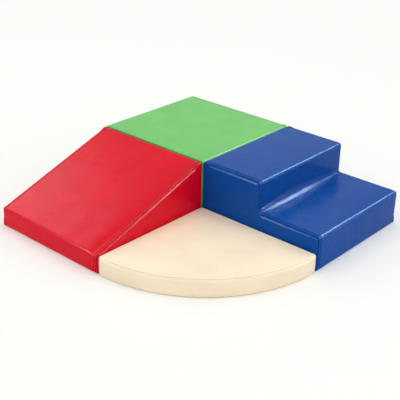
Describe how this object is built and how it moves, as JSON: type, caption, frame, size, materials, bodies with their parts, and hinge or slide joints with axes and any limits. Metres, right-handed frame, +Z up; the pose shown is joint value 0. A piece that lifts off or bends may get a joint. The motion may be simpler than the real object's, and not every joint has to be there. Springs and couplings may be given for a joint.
{
  "type": "soft play foam climber",
  "caption": "Soft play corner climber: square platform with a ramp, stairs and a quarter-round mat, foam blocks in zipped vinyl covers.",
  "frame": {"origin": "on the floor, at the common corner of the four blocks, which is the middle of the square that they fill", "axes": "+Z up, +X the way the stairs go down, -Y the way the ramp goes down"},
  "size_m": [1.208, 1.208, 0.293],
  "materials": {
    "green_vinyl": "satin",
    "red_vinyl": "satin",
    "blue_vinyl": "satin",
    "cream_vinyl": "satin",
    "foam": "matte",
    "grip_fabric": "matte",
    "zip_tape": "matte",
    "zip_metal": "satin",
    "green_strip": "matte",
    "red_strip": "matte",
    "blue_strip": "matte",
    "cream_strip": "matte"
  },
  "bodies": {
    "platform": {"platform_foam_core": "foam", "platform_wrap_panel": "green_vinyl", "platform_back_panel": "green_vinyl", "platform_ramp_side_panel": "green_vinyl", "platform_base_panel": "grip_fabric", "platform_base_strip": "grip_fabric", "platform_zip_tape_left": "zip_tape", "platform_zip_tape_right": "zip_tape", "platform_zip_closing_stop": "zip_metal", "platform_zip_opening_stop": "zip_metal", "platform_loop_strip_stairs_1": "green_strip", "platform_loop_strip_stairs_2": "green_strip", "platform_loop_strip_ramp_1": "green_strip", "platform_loop_strip_ramp_2": "green_strip"},
    "ramp": {"ramp_foam_core": "foam", "ramp_wrap_panel": "red_vinyl", "ramp_outer_side_panel": "red_vinyl", "ramp_mat_side_panel": "red_vinyl", "ramp_base_panel": "grip_fabric", "ramp_base_strip": "grip_fabric", "ramp_zip_tape_left": "zip_tape", "ramp_zip_tape_right": "zip_tape", "ramp_zip_closing_stop": "zip_metal", "ramp_zip_opening_stop": "zip_metal", "ramp_hook_strip_platform_1": "red_strip", "ramp_hook_strip_platform_2": "red_strip", "ramp_loop_strip_mat": "red_strip"},
    "stairs": {"stairs_foam_core": "foam", "stairs_wrap_panel": "blue_vinyl", "stairs_outer_side_panel": "blue_vinyl", "stairs_mat_side_panel": "blue_vinyl", "stairs_base_panel": "grip_fabric", "stairs_base_strip": "grip_fabric", "stairs_zip_tape_left": "zip_tape", "stairs_zip_tape_right": "zip_tape", "stairs_zip_closing_stop": "zip_metal", "stairs_zip_opening_stop": "zip_metal", "stairs_hook_strip_platform_1": "blue_strip", "stairs_hook_strip_platform_2": "blue_strip", "stairs_loop_strip_mat": "blue_strip"},
    "corner_mat": {"mat_foam_core": "foam", "mat_top_panel": "cream_vinyl", "mat_arc_band": "cream_vinyl", "mat_inner_band": "cream_vinyl", "mat_base_panel": "grip_fabric", "mat_base_strip": "grip_fabric", "mat_zip_tape_left": "zip_tape", "mat_zip_tape_right": "zip_tape", "mat_zip_closing_stop": "zip_metal", "mat_zip_opening_stop": "zip_metal", "mat_hook_strip_stairs": "cream_strip", "mat_hook_strip_ramp": "cream_strip"},
    "platform_slider": {"platform_zip_slider": "zip_metal"},
    "ramp_slider": {"ramp_zip_slider": "zip_metal"},
    "stairs_slider": {"stairs_zip_slider": "zip_metal"},
    "mat_slider": {"mat_zip_slider": "zip_metal"},
    "platform_pull": {"platform_zip_pull": "zip_metal"},
    "ramp_pull": {"ramp_zip_pull": "zip_metal"},
    "stairs_pull": {"stairs_zip_pull": "zip_metal"},
    "mat_pull": {"mat_zip_pull": "zip_metal"}
  },
  "joints": [
    {"name": "ramp_detach", "type": "slide", "parent": "platform", "child": "ramp", "axis": [-0.7071, -0.7071, 0], "range_m": [0, 0.3]},
    {"name": "stairs_detach", "type": "slide", "parent": "platform", "child": "stairs", "axis": [0.7071, 0.7071, 0], "range_m": [0, 0.3]},
    {"name": "mat_detach", "type": "slide", "parent": "platform", "child": "corner_mat", "axis": [0.7071, -0.7071, 0], "range_m": [0, 0.3]},
    {"name": "platform_zip", "type": "slide", "parent": "platform", "child": "platform_slider", "axis": [0, -1, 0], "range_m": [0, 0.519]},
    {"name": "ramp_zip", "type": "slide", "parent": "ramp", "child": "ramp_slider", "axis": [1, 0, 0], "range_m": [0, 0.519]},
    {"name": "stairs_zip", "type": "slide", "parent": "stairs", "child": "stairs_slider", "axis": [0, 1, 0], "range_m": [0, 0.519]},
    {"name": "mat_zip", "type": "slide", "parent": "corner_mat", "child": "mat_slider", "axis": [1, 0, 0], "range_m": [0, 0.5128]},
    {"name": "platform_pull_swing", "type": "hinge", "parent": "platform_slider", "child": "platform_pull", "pos_m": [-0.064, 0.5615, 0.00415], "axis": [1, 0, 0], "range_deg": [-5, 170]},
    {"name": "ramp_pull_swing", "type": "hinge", "parent": "ramp_slider", "child": "ramp_pull", "pos_m": [-0.5615, -0.064, 0.00415], "axis": [0, 1, 0], "range_deg": [-5, 170]},
    {"name": "stairs_pull_swing", "type": "hinge", "parent": "stairs_slider", "child": "stairs_pull", "pos_m": [0.064, 0.0425, 0.00415], "axis": [-1, 0, 0], "range_deg": [-5, 170]},
    {"name": "mat_pull_swing", "type": "hinge", "parent": "mat_slider", "child": "mat_pull", "pos_m": [0.0425, -0.064, 0.00415], "axis": [0, 1, 0], "range_deg": [-5, 170]}
  ]
}
